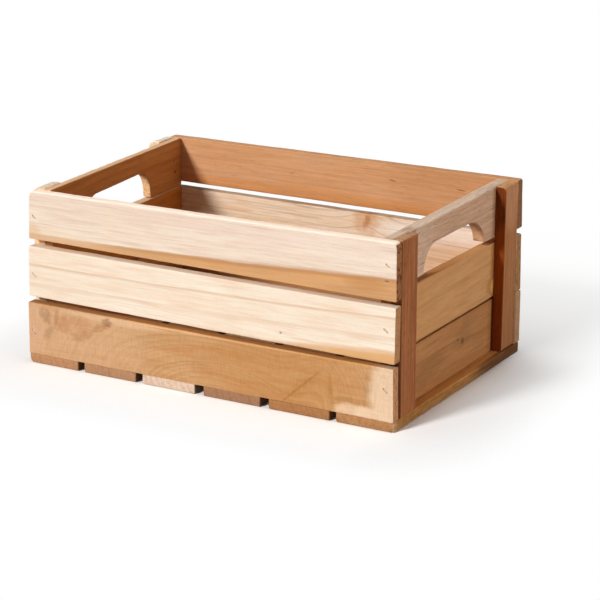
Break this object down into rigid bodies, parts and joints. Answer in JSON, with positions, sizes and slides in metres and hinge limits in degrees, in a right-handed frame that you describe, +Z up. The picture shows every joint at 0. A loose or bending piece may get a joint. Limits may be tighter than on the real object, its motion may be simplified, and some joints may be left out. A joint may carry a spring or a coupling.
{
  "type": "wooden storage crate",
  "caption": "Open slatted wooden storage crate with boarded ends, hand holes, outer corner posts and a slatted base.",
  "frame": {"origin": "on the ground under the middle of the crate", "axes": "+X along the length, towards the right-hand end; +Y from the front wall to the back wall; +Z up"},
  "size_m": [0.3, 0.2, 0.1321],
  "materials": {
    "front_slat_wood": "sanded, pale",
    "back_slat_wood": "sanded, tan",
    "end_board_wood": "sanded, honey to brown",
    "post_wood": "sanded, reddish brown",
    "base_slat_wood": "sanded, tan",
    "staple_steel": "galvanised wire"
  },
  "bodies": {
    "root": {"front_slat_lower": "front_slat_wood", "front_slat_middle": "front_slat_wood", "front_slat_upper": "front_slat_wood", "back_slat_lower": "back_slat_wood", "back_slat_middle": "back_slat_wood", "back_slat_upper": "back_slat_wood", "left_end_board_lower": "end_board_wood", "left_end_board_middle": "end_board_wood", "left_end_board_upper": "end_board_wood", "right_end_board_lower": "end_board_wood", "right_end_board_middle": "end_board_wood", "right_end_board_upper": "end_board_wood", "front_left_post": "post_wood", "front_right_post": "post_wood", "back_left_post": "post_wood", "back_right_post": "post_wood", "base_slat_1": "base_slat_wood", "base_slat_2": "base_slat_wood", "base_slat_3": "base_slat_wood", "base_slat_4": "base_slat_wood", "base_slat_5": "base_slat_wood", "base_slat_6": "base_slat_wood", "front_lower_staple_left": "staple_steel", "front_lower_staple_right": "staple_steel", "front_middle_staple_left": "staple_steel", "front_middle_staple_right": "staple_steel", "front_upper_staple_left": "staple_steel", "front_upper_staple_right": "staple_steel", "back_lower_staple_left": "staple_steel", "back_lower_staple_right": "staple_steel", "back_middle_staple_left": "staple_steel", "back_middle_staple_right": "staple_steel", "back_upper_staple_left": "staple_steel", "back_upper_staple_right": "staple_steel", "left_end_lower_staple_front": "staple_steel", "left_end_lower_staple_back": "staple_steel", "left_end_middle_staple_front": "staple_steel", "left_end_middle_staple_back": "staple_steel", "left_end_upper_staple_front": "staple_steel", "left_end_upper_staple_back": "staple_steel", "right_end_lower_staple_front": "staple_steel", "right_end_lower_staple_back": "staple_steel", "right_end_middle_staple_front": "staple_steel", "right_end_middle_staple_back": "staple_steel", "right_end_upper_staple_front": "staple_steel", "right_end_upper_staple_back": "staple_steel", "base_1_staple_front": "staple_steel", "base_1_staple_back": "staple_steel", "base_2_staple_front": "staple_steel", "base_2_staple_back": "staple_steel", "base_3_staple_front": "staple_steel", "base_3_staple_back": "staple_steel", "base_4_staple_front": "staple_steel", "base_4_staple_back": "staple_steel", "base_5_staple_front": "staple_steel", "base_5_staple_back": "staple_steel", "base_6_staple_front": "staple_steel", "base_6_staple_back": "staple_steel"}
  },
  "joints": []
}
